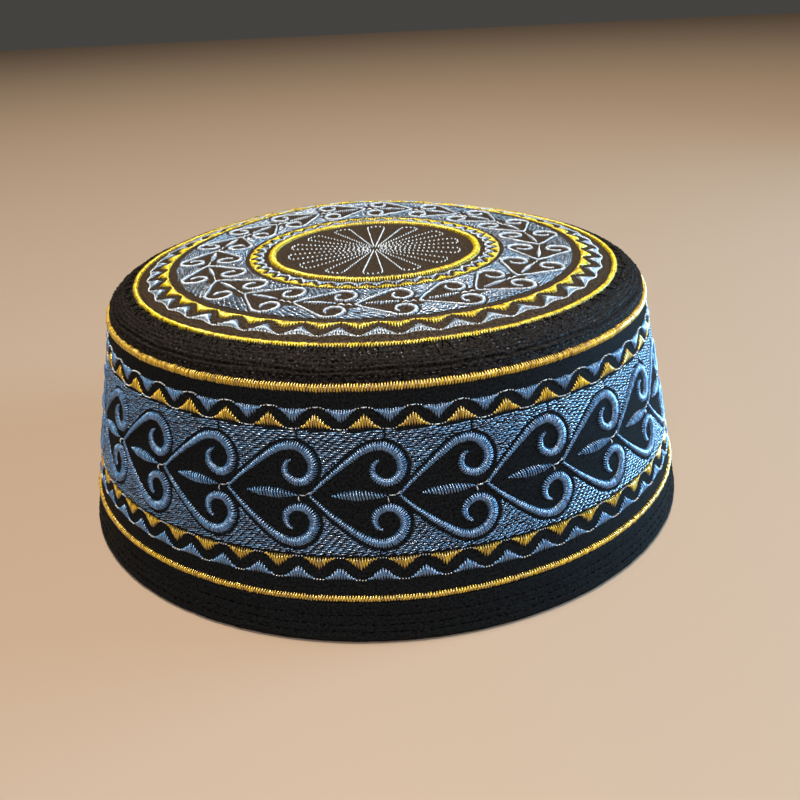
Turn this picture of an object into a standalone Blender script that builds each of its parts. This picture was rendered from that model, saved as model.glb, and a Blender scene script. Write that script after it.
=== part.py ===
"""An embroidered prayer cap: a round crown, a quilted shoulder, a flared side wall and a stitched hem.

The cap stands on its hem at z = 0, its middle on the Z axis and its front towards -Y.
Each piece is a closed cloth section turned round the Z axis. The raised gold lines lie over the
seams between the pieces. Sizes are in millimetres and MM turns them into Blender's metres.
"""

import math
from collections import namedtuple

import bpy
from mathutils import Vector

MM = 0.001

# Driving sizes
BASE_RADIUS = 95.0      # outside of the hem, for a head of about 57 cm
WALL_LEAN = 0.1923      # how far the wall leans in for each millimetre of height
SHOULDER_RADIUS = 73.0  # where the crown ends and the shoulder begins
SHOULDER_TOP = 72.0     # height of that seam
SHOULDER_FOOT = 65.0    # height where the shoulder meets the wall
CLOTH = 2.2             # embroidered cloth with its backing
HEM_CLOTH = 2.6         # the hem is folded cloth
GAP = 0.3               # clearance between neighbouring pieces

TURN_STEPS = 72         # facets round the cap

# Quilting: the rows of stitches draw the cloth in, and it stands up in ribs between them
SHOULDER_ROUNDNESS = 1.7  # exponent of the shoulder's curve: 2 is an ellipse, less is flatter
SHOULDER_STITCH_ROWS = (0.19, 0.32, 0.46, 0.64, 0.77)  # shares of the way from crown to wall
SHOULDER_ENDS = (0.006, 0.96)                          # where the shoulder's cloth starts and stops
RIB_HEIGHT = 0.4
HEM_TOP = 10.8
HEM_STITCH_ROWS = (7.5, 5.0, 3.0)                      # heights

# A raised gold line is a half-round strip
LINE_HEIGHT = 0.8
LINE_SIDES = 4

# The crown's back stands a little higher on the left, as worn cloth does
SWELL_HEIGHT = 2.6
SWELL_MIDDLE = (-12.0, 68.0)
SWELL_REACH = (34.0, 20.0)

# The cap's sides lean in a little more than its front: above this height they give way inward,
# and below it outward
SIDE_PRESS = 0.01       # the largest share of its width that a side gives way
PRESS_HEIGHT = 20.0
PRESS_REACH = 35.0

CrownRow = namedtuple("CrownRow", "radius height")
CROWN_ROWS = (
    CrownRow(0.0, 75.8),
    CrownRow(20.0, 75.8),
    CrownRow(32.0, 75.7),
    CrownRow(47.5, 75.0),
    CrownRow(58.0, 74.6),
    CrownRow(65.0, 74.1),
    CrownRow(69.5, 73.1),
)

GoldLine = namedtuple("GoldLine", "name place width")

Finish = namedtuple("Finish", "colour roughness")
FINISHES = {
    "black_cloth": Finish((0.012, 0.011, 0.011), 0.85),
    "blue_embroidery": Finish((0.09, 0.21, 0.46), 0.6),
    "gold_thread": Finish((0.70, 0.37, 0.03), 0.5),
}


def wall_radius(height):
    """Outside radius of the leaning wall."""
    return BASE_RADIUS - WALL_LEAN * height


def wall_point(height):
    return Vector((wall_radius(height), height))


def shoulder_point(share):
    """A point on the shoulder's curve: share 0 is the crown's seam, 1 is the top of the wall."""
    foot_radius = wall_radius(SHOULDER_FOOT)
    angle = share * math.pi / 2
    power = 2.0 / SHOULDER_ROUNDNESS
    out = (foot_radius - SHOULDER_RADIUS) * math.sin(angle) ** power
    up = (SHOULDER_TOP - SHOULDER_FOOT) * math.cos(angle) ** power
    return Vector((SHOULDER_RADIUS + out, SHOULDER_FOOT + up))


def crown_height(radius):
    """Height of the crown's face at a radius, read between the rows of its table."""
    rows = CROWN_ROWS + (CrownRow(SHOULDER_RADIUS, SHOULDER_TOP),)
    for inner, outer in zip(rows, rows[1:]):
        if radius <= outer.radius:
            share = (radius - inner.radius) / (outer.radius - inner.radius)
            return inner.height + share * (outer.height - inner.height)
    return SHOULDER_TOP


def outward(points):
    """The outward direction at each point of an outline that runs down the outside of the cap."""
    directions = []
    for index in range(len(points)):
        before = points[max(index - 1, 0)]
        after = points[min(index + 1, len(points) - 1)]
        along = (after - before).normalized()
        directions.append(Vector((-along.y, along.x)))
    return directions


def offset(points, distance):
    return [point + side * distance for point, side in zip(points, outward(points))]


def lift(x, y):
    """How far the crown's worn back-left rises at a place seen from above."""
    across = (x - SWELL_MIDDLE[0]) / SWELL_REACH[0]
    along = (y - SWELL_MIDDLE[1]) / SWELL_REACH[1]
    return SWELL_HEIGHT * math.exp(-0.5 * (across ** 2 + along ** 2))


def pressed(x, y, z):
    """Where a side's place goes when the cloth gives way: the more it faces sideways, the further."""
    sideways = (x ** 2 / max(x ** 2 + y ** 2, 1.0)) ** 2
    above = min(max((z - PRESS_HEIGHT) / PRESS_REACH, -1.0), 1.0)
    return x * (1.0 - SIDE_PRESS * sideways * above)


def settle(mesh):
    """Gives a piece the small unevenness of worn cloth. The swell fades to nothing at the hem."""
    for vertex in mesh.vertices:
        x, y, z = vertex.co / MM
        share = max(z, 0.0) / SHOULDER_TOP
        vertex.co.z += lift(x, y) * share ** 2 * MM
        vertex.co.x = pressed(x, y, z) * MM


def finish_of(name):
    """The material of that name, made when it is first asked for."""
    material = bpy.data.materials.get(name)
    if material is None:
        finish = FINISHES[name]
        material = bpy.data.materials.new(name)
        material.use_nodes = True
        shader = material.node_tree.nodes["Principled BSDF"]
        shader.inputs["Base Color"].default_value = (*finish.colour, 1.0)
        shader.inputs["Roughness"].default_value = finish.roughness
        shader.inputs["Metallic"].default_value = 0.0
    return material


def turned(name, section, finish, closed=True):
    """A solid turned from a section, whose points run down the outside and back up the inside."""
    mesh = bpy.data.meshes.new(name + "_section")
    corners = [(point.x * MM, 0.0, point.y * MM) for point in section]
    sides = [(index, index + 1) for index in range(len(corners) - 1)]
    if closed:
        sides.append((len(corners) - 1, 0))
    mesh.from_pydata(corners, sides, [])
    outline = bpy.data.objects.new(name + "_outline", mesh)
    bpy.context.scene.collection.objects.link(outline)

    screw = outline.modifiers.new("turn", "SCREW")
    screw.axis = "Z"
    screw.steps = TURN_STEPS
    screw.render_steps = TURN_STEPS
    screw.use_merge_vertices = True
    screw.merge_threshold = 0.00001

    graph = bpy.context.evaluated_depsgraph_get()
    solid_mesh = bpy.data.meshes.new_from_object(outline.evaluated_get(graph))
    bpy.data.objects.remove(outline)
    solid_mesh.name = name
    settle(solid_mesh)
    solid_mesh.shade_smooth()
    solid_mesh.set_sharp_from_angle(angle=math.radians(50))
    solid_mesh.materials.clear()
    solid_mesh.materials.append(finish_of(finish))

    piece = bpy.data.objects.new(name, solid_mesh)
    cap_pieces.objects.link(piece)
    return piece


def make_crown_panel():
    edge = SHOULDER_RADIUS - GAP / 2
    outside = [Vector((row.radius, row.height)) for row in CROWN_ROWS]
    outside.append(Vector((edge, crown_height(edge))))
    inside = [point - Vector((0.0, CLOTH)) for point in outside[::2] + outside[-1:]]
    return turned("crown_panel", outside + inside[::-1], "black_cloth", closed=False)


def make_shoulder_band():
    first, last = SHOULDER_ENDS
    outside = [shoulder_point(first)]
    for row, following in zip(SHOULDER_STITCH_ROWS, SHOULDER_STITCH_ROWS[1:]):
        middle = (row + following) / 2
        rib = [shoulder_point(row), shoulder_point(middle), shoulder_point(following)]
        outside.append(rib[0])
        outside.append(offset(rib, RIB_HEIGHT)[1])
    outside.append(shoulder_point(SHOULDER_STITCH_ROWS[-1]))
    outside.append(shoulder_point((SHOULDER_STITCH_ROWS[-1] + last) / 2))
    outside.append(shoulder_point(last))
    covered = [shoulder_point(share) for share in (0.03,) + SHOULDER_STITCH_ROWS[::2]]
    lining = offset(covered, -CLOTH) + [wall_point(SHOULDER_FOOT) - Vector((CLOTH, 0.0))]
    section = outside + lining[::-1]
    return turned("shoulder_band", section, "black_cloth")


def make_side_wall():
    top = SHOULDER_FOOT - GAP
    foot = HEM_TOP + GAP
    heights = [top + (foot - top) * step / 3 for step in range(4)]
    outside = [wall_point(height) for height in heights]
    inside = [point - Vector((CLOTH, 0.0)) for point in (outside[-1], outside[0])]
    return turned("side_wall", outside + inside, "blue_embroidery")


def make_hem_band():
    outside = [wall_point(HEM_TOP)]
    above = HEM_TOP
    for row in HEM_STITCH_ROWS:
        middle = (above + row) / 2
        outside.append(wall_point(middle) + Vector((RIB_HEIGHT, 0.0)))
        outside.append(wall_point(row))
        above = row
    outside.append(wall_point(above / 2) + Vector((RIB_HEIGHT, 0.0)))
    outside.append(wall_point(0.0))
    inside = [wall_point(height) - Vector((HEM_CLOTH, 0.0)) for height in (0.0, HEM_TOP)]
    return turned("hem_band", outside + inside, "black_cloth")


def make_gold_line(line):
    """A half-round strip that lies along the cloth, GAP clear of it."""
    half = line.width / 2
    places = [line.place(-half), line.place(0.0), line.place(half)]
    along = (places[2] - places[0]).normalized()
    side = Vector((-along.y, along.x))
    middle = places[1] + side * GAP
    section = []
    for step in range(LINE_SIDES + 1):
        angle = math.pi * step / LINE_SIDES
        out = side * LINE_HEIGHT * math.sin(angle)
        section.append(middle - along * half * math.cos(angle) + out)
    return turned(line.name, section, "gold_thread")


def on_crown(radius):
    """Places on the crown's face, told by their distance outward from a radius."""
    return lambda distance: Vector((radius + distance, crown_height(radius + distance)))


def on_wall(height):
    """Places on the wall, told by their distance down from a height."""
    return lambda distance: wall_point(height - distance)


GOLD_LINES = (
    GoldLine("medallion_gold_line", on_crown(32.0), 2.7),
    GoldLine("crown_gold_line", on_crown(SHOULDER_RADIUS + 0.4), 2.1),
    GoldLine("wall_upper_gold_line", on_wall(SHOULDER_FOOT - 0.2), 2.5),
    GoldLine("wall_lower_gold_line", on_wall(12.4), 2.0),
)

for leftover in list(bpy.data.objects):
    bpy.data.objects.remove(leftover)

cap_pieces = bpy.data.collections.new("prayer_cap")
bpy.context.scene.collection.children.link(cap_pieces)

make_crown_panel()
make_shoulder_band()
make_side_wall()
make_hem_band()
for gold_line in GOLD_LINES:
    make_gold_line(gold_line)
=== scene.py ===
# %% [markdown]
# An embroidered prayer cap. The real one is black polyester satin over a stiff backing, worked by
# machine in blue and gold thread: a round crown, a quilted shoulder, a flared wall and a quilted hem.
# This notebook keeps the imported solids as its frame, lays finer cloth over them, and then sews every
# stitch as its own small mesh, because the look of such a cap is thousands of shiny threads that
# catch the light one by one.

import math
from collections import namedtuple

import bpy
import numpy as np
from mathutils import Matrix, Vector


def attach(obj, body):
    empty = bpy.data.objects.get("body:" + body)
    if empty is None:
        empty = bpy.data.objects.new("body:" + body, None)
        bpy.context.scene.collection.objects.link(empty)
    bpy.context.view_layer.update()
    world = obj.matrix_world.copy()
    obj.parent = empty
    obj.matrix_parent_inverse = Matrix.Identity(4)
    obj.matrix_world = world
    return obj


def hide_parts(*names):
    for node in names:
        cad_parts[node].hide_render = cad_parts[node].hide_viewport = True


MM = 0.001
ROUND = 2 * math.pi

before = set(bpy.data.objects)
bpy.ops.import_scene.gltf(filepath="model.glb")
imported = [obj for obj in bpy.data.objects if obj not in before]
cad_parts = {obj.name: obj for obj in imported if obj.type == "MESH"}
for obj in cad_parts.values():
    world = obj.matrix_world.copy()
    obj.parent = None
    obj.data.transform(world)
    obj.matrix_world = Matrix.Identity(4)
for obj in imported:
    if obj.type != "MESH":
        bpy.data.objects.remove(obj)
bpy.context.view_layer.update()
print("nodes in the frame:", sorted(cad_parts))

# %% [markdown]
# The cap is round, so one curve tells its whole outside: it runs from the middle of the crown, over
# the shoulder and down the wall. A place on the cap is then two numbers, how far along that curve and
# how far round the cap, and everything sewn on it is drawn in those two. The curve repeats the sizes
# of the solids, so cloth and stitches lie where the frame is.

# %% The curve of the cap's outside
BASE_RADIUS = 95.0
WALL_LEAN = 0.1923
SHOULDER_RADIUS = 73.0
SHOULDER_TOP = 72.0
SHOULDER_FOOT = 65.0
SHOULDER_ROUNDNESS = 1.7

CrownRow = namedtuple("CrownRow", "radius height")
CROWN_ROWS = (
    CrownRow(0.0, 75.8),
    CrownRow(20.0, 75.8),
    CrownRow(32.0, 75.7),
    CrownRow(47.5, 75.0),
    CrownRow(58.0, 74.6),
    CrownRow(65.0, 74.1),
    CrownRow(69.5, 73.1),
    CrownRow(SHOULDER_RADIUS, SHOULDER_TOP),
)
CURVE_STEP = 0.2  # millimetres between the curve's points
CURVE_BLUR = 1.2  # how softly the cloth turns where the table has a corner


def distances(path):
    """How far along a path each of its points lies."""
    return np.concatenate([[0.0], np.cumsum(np.hypot(*np.diff(path[:, :2], axis=0).T))])


def read(path, run, places):
    """A path's points at places along it. Run is how far along its own points lie."""
    return np.stack([np.interp(places, run, column) for column in path.T], -1)


def softened(points, step, blur):
    """Points a step apart along a path, with its corners rounded over a distance of blur."""
    run = distances(points)
    path = read(points, run, np.linspace(0.0, run[-1], max(int(round(run[-1] / step)), 2) + 1))
    reach = max(int(3 * blur / step), 1)
    before = 2 * path[0] - path[1:reach + 1][::-1]
    after = 2 * path[-1] - path[-reach - 1:-1][::-1]
    longer = np.concatenate([before, path, after])
    weights = np.exp(-0.5 * (np.arange(-reach, reach + 1) * step / blur) ** 2)
    columns = [np.convolve(column, weights / weights.sum(), "valid") for column in longer.T]
    return np.stack(columns, 1)


def outside_points():
    """(radius, height) down the outside, from the crown's middle to the hem."""
    share = np.linspace(0.0, math.pi / 2, 40)[1:]
    power = 2.0 / SHOULDER_ROUNDNESS
    foot = BASE_RADIUS - WALL_LEAN * SHOULDER_FOOT
    out = SHOULDER_RADIUS + (foot - SHOULDER_RADIUS) * np.sin(share) ** power
    up = SHOULDER_FOOT + (SHOULDER_TOP - SHOULDER_FOOT) * np.maximum(np.cos(share), 0.0) ** power
    return np.concatenate([np.array(CROWN_ROWS), np.stack([out, up], 1), [[BASE_RADIUS, 0.0]]])


CURVE = softened(outside_points(), CURVE_STEP, CURVE_BLUR)
ALONG = distances(CURVE)
SLOPE = np.gradient(CURVE, ALONG, axis=0)
SLOPE[0] = (1.0, 0.0)
HEM = ALONG[-1]


def at_radius(radius):
    """How far along the curve the cap has this radius."""
    return np.interp(radius, CURVE[:, 0], ALONG)


def at_height(height):
    """How far along the curve the wall is this high."""
    return np.interp(-np.asarray(height), -CURVE[:, 1], ALONG)


def radius_at(along):
    """The cap's radius at a place along the curve."""
    return np.interp(along, ALONG, CURVE[:, 0])


def turns_round(count, first=0.0):
    """The turns of so many even places round the cap. The first one's is given in degrees."""
    return math.radians(first) + np.arange(count) / count * ROUND


print(f"the curve is {HEM:.1f} mm long and the wall starts at {at_height(SHOULDER_FOOT):.1f}")

# %% Places on the cap
SWELL_HEIGHT = 2.6
SWELL_MIDDLE = (-12.0, 68.0)
SWELL_REACH = (34.0, 20.0)
SIDE_PRESS = 0.01
PRESS_HEIGHT = 20.0
PRESS_REACH = 35.0


def swell(x, y, z):
    """The crown's worn back-left stands a little higher, as in the solids."""
    across = (x - SWELL_MIDDLE[0]) / SWELL_REACH[0]
    behind = (y - SWELL_MIDDLE[1]) / SWELL_REACH[1]
    share = np.maximum(z, 0.0) / SHOULDER_TOP
    return SWELL_HEIGHT * np.exp(-0.5 * (across ** 2 + behind ** 2)) * share ** 2


def pressed(x, y, z):
    """Where a side's place goes: the sides give way, inward above and outward below."""
    sideways = (x ** 2 / np.maximum(x ** 2 + y ** 2, 1.0)) ** 2
    above = np.clip((z - PRESS_HEIGHT) / PRESS_REACH, -1.0, 1.0)
    return x * (1.0 - SIDE_PRESS * sideways * above)


def off_cap(along, turn):
    """The direction straight out of the cloth at places on the cap."""
    out, down = (np.interp(along, ALONG, column) for column in SLOPE.T)
    size = np.hypot(out, down)
    return np.stack([-down / size * np.sin(turn), down / size * np.cos(turn), out / size], -1)


def on_cap(along, turn, lift=0.0):
    """Points in millimetres at places on the cap, lifted off the cloth. Turn 0 is the front."""
    radius, height = (np.interp(along, ALONG, column) for column in CURVE.T)
    flat = np.stack([radius * np.sin(turn), -radius * np.cos(turn), height], -1)
    x, y, z = np.moveaxis(flat + off_cap(along, turn) * np.asarray(lift)[..., None], -1, 0)
    return np.stack([pressed(x, y, z), y, z + swell(x, y, z)], -1)


# %% [markdown]
# A finish is a small node tree. Colours are written as they look on a screen, in hex, and one
# function turns them to the linear values that the renderer wants. Another adds a node with its
# settings and links, and gives back its output, ready to be linked to the next node.

# %% Helpers for finishes


def linear(hex_colour):
    """The linear colour of an sRGB hex value such as #4f7fb5."""
    parts = [int(hex_colour[start:start + 2], 16) / 255 for start in (1, 3, 5)]
    return tuple(c / 12.92 if c <= 0.04045 else ((c + 0.055) / 1.055) ** 2.4 for c in parts) + (1.0,)


def feed(tree, node, inputs):
    """Fills a node's inputs. Each gets a value, or another node's output, which is linked."""
    for socket, value in inputs.items():
        if isinstance(value, bpy.types.NodeSocket):
            tree.links.new(value, node.inputs[socket])
        else:
            node.inputs[socket].default_value = value


def add_node(tree, kind, inputs, output=0, **settings):
    """Adds a node with these inputs and settings, and gives back one of its outputs."""
    node = tree.nodes.new("ShaderNode" + kind)
    for name, value in settings.items():
        setattr(node, name, value)
    feed(tree, node, inputs)
    return node.outputs[output]


def new_finish(name):
    """A material, its node tree and its Principled shader."""
    material = bpy.data.materials.new(name)
    material.use_nodes = True
    return material, material.node_tree, material.node_tree.nodes["Principled BSDF"]


# %% [markdown]
# The thread is trilobal polyester, spun to shine like silk. A three-lobed fibre throws a bright,
# fairly sharp highlight, so the roughness is low for a textile. Its index is set at 2.0, higher than
# the 1.6 of real polyester, because one smooth strand stands here for thirty fibres that each glint.
# Each stitch carries a shade of its own, because no two lie alike, and each point knows how far along
# and across the thread it is, which draws the ply's twist, about one turn in half a millimetre.

# %% Thread finishes
# A mix of colours takes its share at input 0 and the colours at 6 and 7. Its result is output 2
TWIST_MM = 0.55


def thread_finish(name, dark, light, roughness, glint="#ffffff", shine=1.0, coat=1.0, sheen=0.1):
    """Thread of two plies. Each stitch's own colour lies somewhere from dark to light."""
    material, tree, shader = new_finish(name)
    shade, run, side = (add_node(tree, "Attribute", {}, "Fac", attribute_name=value)
                        for value in ("shade", "run", "side"))
    tint = add_node(tree, "Mix", {0: shade, 6: linear(dark), 7: linear(light)}, 2, data_type="RGBA")
    turns = add_node(tree, "Math", {0: run, 1: ROUND / TWIST_MM, 2: side}, operation="MULTIPLY_ADD")
    ply = add_node(tree, "Math", {0: turns}, operation="SINE")
    # Painted shade: the grooves between the plies are painted nearly a fifth darker
    groove = add_node(tree, "MapRange", {
        "Value": ply, "From Min": -1.0, "From Max": -0.2, "To Min": 0.82, "To Max": 1.0})
    shadowed = add_node(tree, "Mix", {0: 1.0, 6: tint, 7: groove}, 2, data_type="RGBA",
                        blend_type="MULTIPLY")
    bump = add_node(tree, "Bump", {"Height": ply, "Strength": 0.35, "Distance": 0.03 * MM}, "Normal")
    feed(tree, shader, {
        "Base Color": shadowed, "Normal": bump, "Roughness": roughness, "IOR": 2.0,
        "Specular IOR Level": shine, "Specular Tint": linear(glint), "Coat Weight": coat,
        "Coat Roughness": 0.15, "Sheen Weight": sheen, "Sheen Roughness": 0.4})
    return material


blue_thread = thread_finish("blue polyester thread", "#1e4a72", "#447ca6", 0.25, shine=0.7, coat=0.4)
ground_thread = thread_finish("blue trilobal polyester thread", "#183a56", "#4c86b0", 0.2)
# Painted highlight: the crown's ground is the wall's blue thread, painted greyer and paler for the lamp's
# glare
crown_glare_ground_thread = thread_finish("grey blue trilobal polyester thread", "#2c3c4c", "#6c869c", 0.2, shine=0.8)
# Painted light and shade: one gold thread in two copies, painted lemon for the crown and deep orange for the
# wall
crown_lit_gold = thread_finish("gold trilobal polyester thread", "#946a04", "#e8cc08", 0.2, "#fff078")
wall_shaded_gold = thread_finish("deep gold trilobal polyester thread", "#8a5c04", "#e2b40c", 0.2, "#fff4a0")
# Painted light: the crown's triangles are the blue thread, painted paler for the strong light on the crown
crown_lit_triangle_thread = thread_finish("steel blue polyester thread", "#3c586e", "#8098aa", 0.3, shine=0.9, coat=0.7)
# The crown's scrolls are silver thread painted paler still for the strong light there: partly own colour,
# partly painted highlight
pale_thread = thread_finish("silver polyester thread", "#7c868e", "#b6bec2", 0.24, shine=0.7)
white_thread = thread_finish("white polyester thread", "#b4b6b4", "#e6e6e0", 0.24, shine=0.7)
black_thread = thread_finish("black polyester sewing thread", "#030303", "#080808", 0.3, shine=0.3, coat=0.0,
                             sheen=0.0)
matt_thread = thread_finish("black cotton thread", "#010101", "#030303", 0.7, shine=0.0, coat=0.0, sheen=0.0)

# %% [markdown]
# The ground is black polyester satin, woven from threads about 0.2 mm apart. Satin hides its weave
# behind long floats, so it shines softly and shows almost no pattern. The weave is drawn at 0.4 mm, as
# coarse as it must be to show, from two crossed waves in the cloth's own millimetres. Small clouds of
# noise raise its crumples, which are slight on the wall and deep on the shoulder, and the same clouds
# paint the raised parts lighter and the hollows near black: painted light and shade.

# %% The satin finish
WEAVE_MM = 0.4


def satin_finish(name, dark, light, roughness, crumple=3.0, scale=1.5, soft=0.15):
    """Woven cloth. Scale is how small its clouds are, and a low soft makes their edges sharper."""
    material, tree, shader = new_finish(name)
    cloth = add_node(tree, "UVMap", {}, uv_map="cloth")
    apart = add_node(tree, "SeparateXYZ", {0: cloth}).node
    waves = []
    for axis in apart.outputs[:2]:
        phase = add_node(tree, "Math", {0: axis, 1: ROUND / WEAVE_MM}, operation="MULTIPLY")
        waves.append(add_node(tree, "Math", {0: phase}, operation="SINE"))
    weave = add_node(tree, "Math", {0: waves[0], 1: waves[1]}, operation="MULTIPLY")
    cloud = add_node(tree, "TexNoise", {"Vector": cloth, "Scale": scale, "Detail": 5.0, "Roughness": 0.7})
    height = add_node(tree, "Math", {0: cloud, 1: crumple, 2: weave}, operation="MULTIPLY_ADD")
    # Painted light and shade: the clouds that raise the crumples also paint them lighter and their hollows
    # darker
    crumple_shade = add_node(tree, "MapRange", {"Value": cloud, "From Min": 0.5 - soft, "From Max": 0.5 + soft})
    tint = add_node(tree, "Mix", {0: crumple_shade, 6: linear(dark), 7: linear(light)}, 2, data_type="RGBA")
    bump = add_node(tree, "Bump", {"Height": height, "Strength": 0.5, "Distance": 0.05 * MM}, "Normal")
    feed(tree, shader, {
        "Base Color": tint, "Normal": bump, "Roughness": roughness, "Specular IOR Level": 0.02})
    return material


flat_satin = satin_finish("black polyester satin", "#030303", "#1f2020", 0.6)
# Painted sheen: the crown's and shoulder's copies of the satin are painted browner and lighter for the warm
# lamp above
sheen_lit_crown_satin = satin_finish("black polyester satin of the crown", "#020101", "#43372b", 0.6, crumple=8.0,
                           scale=1.3, soft=0.14)
sheen_lit_quilted_satin = satin_finish("quilted black polyester satin", "#000000", "#28231f", 0.45, crumple=16.0,
                             scale=1.4, soft=0.1)

# %% [markdown]
# Meshes are made from arrays: points, faces and a few named values, all worked out at once. Each
# piece then rides on the cap's one body, hides the solid it stands for, and takes its finish.

# %% Helpers for meshes
triangles = {}


def add_object(name, data):
    """A new object in the scene."""
    thing = bpy.data.objects.new(name, data)
    bpy.context.scene.collection.objects.link(thing)
    return thing


def new_piece(name, points, corners, sides, finish, replaces=()):
    """A smooth piece from points in millimetres and faces of so many sides each. Gives back its mesh."""
    mesh = bpy.data.meshes.new(name)
    mesh.vertices.add(len(points))
    mesh.vertices.foreach_set("co", (points * MM).ravel())
    mesh.loops.add(len(corners))
    mesh.loops.foreach_set("vertex_index", corners)
    mesh.polygons.add(len(sides))
    mesh.polygons.foreach_set("loop_start", np.concatenate([[0], np.cumsum(sides)[:-1]]))
    mesh.update(calc_edges=True)
    mesh.shade_smooth()
    mesh.materials.append(finish)
    piece = add_object(name, mesh)
    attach(piece, "root")
    if replaces:
        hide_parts(*replaces)
    triangles[name] = int((np.asarray(sides) - 2).sum())
    print(f"{name}: {triangles[name]} triangles")
    return mesh


def add_map(mesh, name, places):
    """A UV map from one place for each face corner."""
    mesh.uv_layers.new(name=name).data.foreach_set("uv", np.asarray(places, float).ravel())


def add_values(mesh, name, values):
    """Keeps one number for each point of a mesh."""
    mesh.attributes.new(name, "FLOAT", "POINT").data.foreach_set("value", np.ravel(values))


# %% [markdown]
# The cloth pieces are turned walls with a real thickness. Their outside is a fine grid that follows
# the curve, with a small relief that the quilting gives, and their inside is a coarser, plain copy.
# The rows of quilting draw the cloth down to the backing, and it stands up between them in soft
# ribs, which short creases cross wherever the needle puckered it.

# %% Quilting
# rows are places along the curve, waver is how far a row strays and rib is how high the cloth stands
# between two rows. Spacing and width tell of the creases across a rib. All are in mm, but depth is the
# share of the rib that the deepest crease takes away
Quilting = namedtuple("Quilting", "rows waver rib spacing width depth seed")


def wobble(turn, seed, size):
    """A slow, random waver round the cap, in millimetres."""
    draw = np.random.default_rng(seed)
    counts = (7, 13, 19, 31, 43)
    waves = [draw.normal() * np.sin(count * turn + draw.uniform(0.0, ROUND)) for count in counts]
    return size * sum(waves) / math.sqrt(len(counts))


# %% Ribs and their creases


def creases(quilting, number, turn, share):
    """How much of a rib is left where short creases cross it. Share runs from 0 to 1 across the rib."""
    draw = np.random.default_rng(quilting.seed + 30 + number)
    radius = radius_at(quilting.rows[number])
    count = int(ROUND * radius / quilting.spacing)
    places = (np.arange(count) + draw.uniform(0.2, 0.8, count)) / count * ROUND
    slants = draw.normal(0.0, 0.4, count)
    depths = draw.uniform(0.3, 1.0, count) * quilting.depth
    after = np.searchsorted(places, turn % ROUND) % count
    left = np.ones_like(turn)
    for near in (after, after - 1):
        away = (turn - places[near] + math.pi) % ROUND - math.pi
        away = away * radius - slants[near] * (share - 0.5)
        left = left * (1.0 - depths[near] * np.exp(-0.5 * (away / quilting.width) ** 2))
    return left


def stitch_row(quilting, number, turn):
    """Where a row of quilting runs: never quite straight."""
    return quilting.rows[number] + wobble(turn, quilting.seed + number, quilting.waver)


def ribs(quilting, along, turn):
    """How high quilted cloth stands at these places."""
    lift = np.zeros_like(along)
    for number in range(len(quilting.rows) - 1):
        start = stitch_row(quilting, number, turn)
        stop = stitch_row(quilting, number + 1, turn)
        share = (along - start) / (stop - start)
        rib = np.sqrt(np.clip(4.0 * share * (1.0 - share), 0.0, 1.0))
        lift = np.maximum(lift, rib * creases(quilting, number, turn, share) * quilting.rib)
    return lift


# %% Lumps
Lumps = namedtuple("Lumps", "height pitch seed")


def lumpiness(lumps, along, turn):
    """Soft random unevenness, up and down."""
    draw = np.random.default_rng(lumps.seed)
    columns = int(ROUND * SHOULDER_RADIUS / lumps.pitch)
    heights = draw.uniform(-1.0, 1.0, (int(HEM / lumps.pitch) + 2, columns))
    down, across = along / lumps.pitch, turn / ROUND * columns
    row, column = np.floor(down).astype(int), np.floor(across).astype(int)
    down, across = down - row, across - column
    down, across = down ** 2 * (3.0 - 2.0 * down), across ** 2 * (3.0 - 2.0 * across)
    left, right = column % columns, (column + 1) % columns
    upper = heights[row, left] * (1.0 - across) + heights[row, right] * across
    lower = heights[row + 1, left] * (1.0 - across) + heights[row + 1, right] * across
    return lumps.height * (upper * (1.0 - down) + lower * down)


# %% Faces and maps of a wall
STRIP_COLUMNS = 360  # how many a strip of the bake map holds at most


def grid_faces(rings, columns, closed):
    """Which row and which column each corner of the quads between rings of points lies in."""
    upper = np.arange(rings if closed else rings - 1)
    column = np.arange(columns)
    steps = ((0, 0), (1, 0), (1, 1), (0, 1))
    row = np.stack([np.repeat(upper + down, columns) for down, _ in steps], 1)
    place = np.stack([np.tile(column + ahead, len(upper)) for _, ahead in steps], 1)
    return row, place


def strips(row, rows, place, columns):
    """Corners on the bake map, where a wall lies cut in strips, one below another."""
    count = math.ceil(columns / STRIP_COLUMNS)
    long = columns / count
    strip = place[:, :1] // long
    return np.stack([place / long - strip, (strip + row / rows) / count], -1).reshape(-1, 2)


# %% Cloth walls
INSIDE_ROWS = 4

# A cloth runs down the curve from start to stop, in so many rows of so many columns round the cap
Cloth = namedtuple("Cloth", "name node slot start stop rows columns relief thickness finish")


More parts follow.
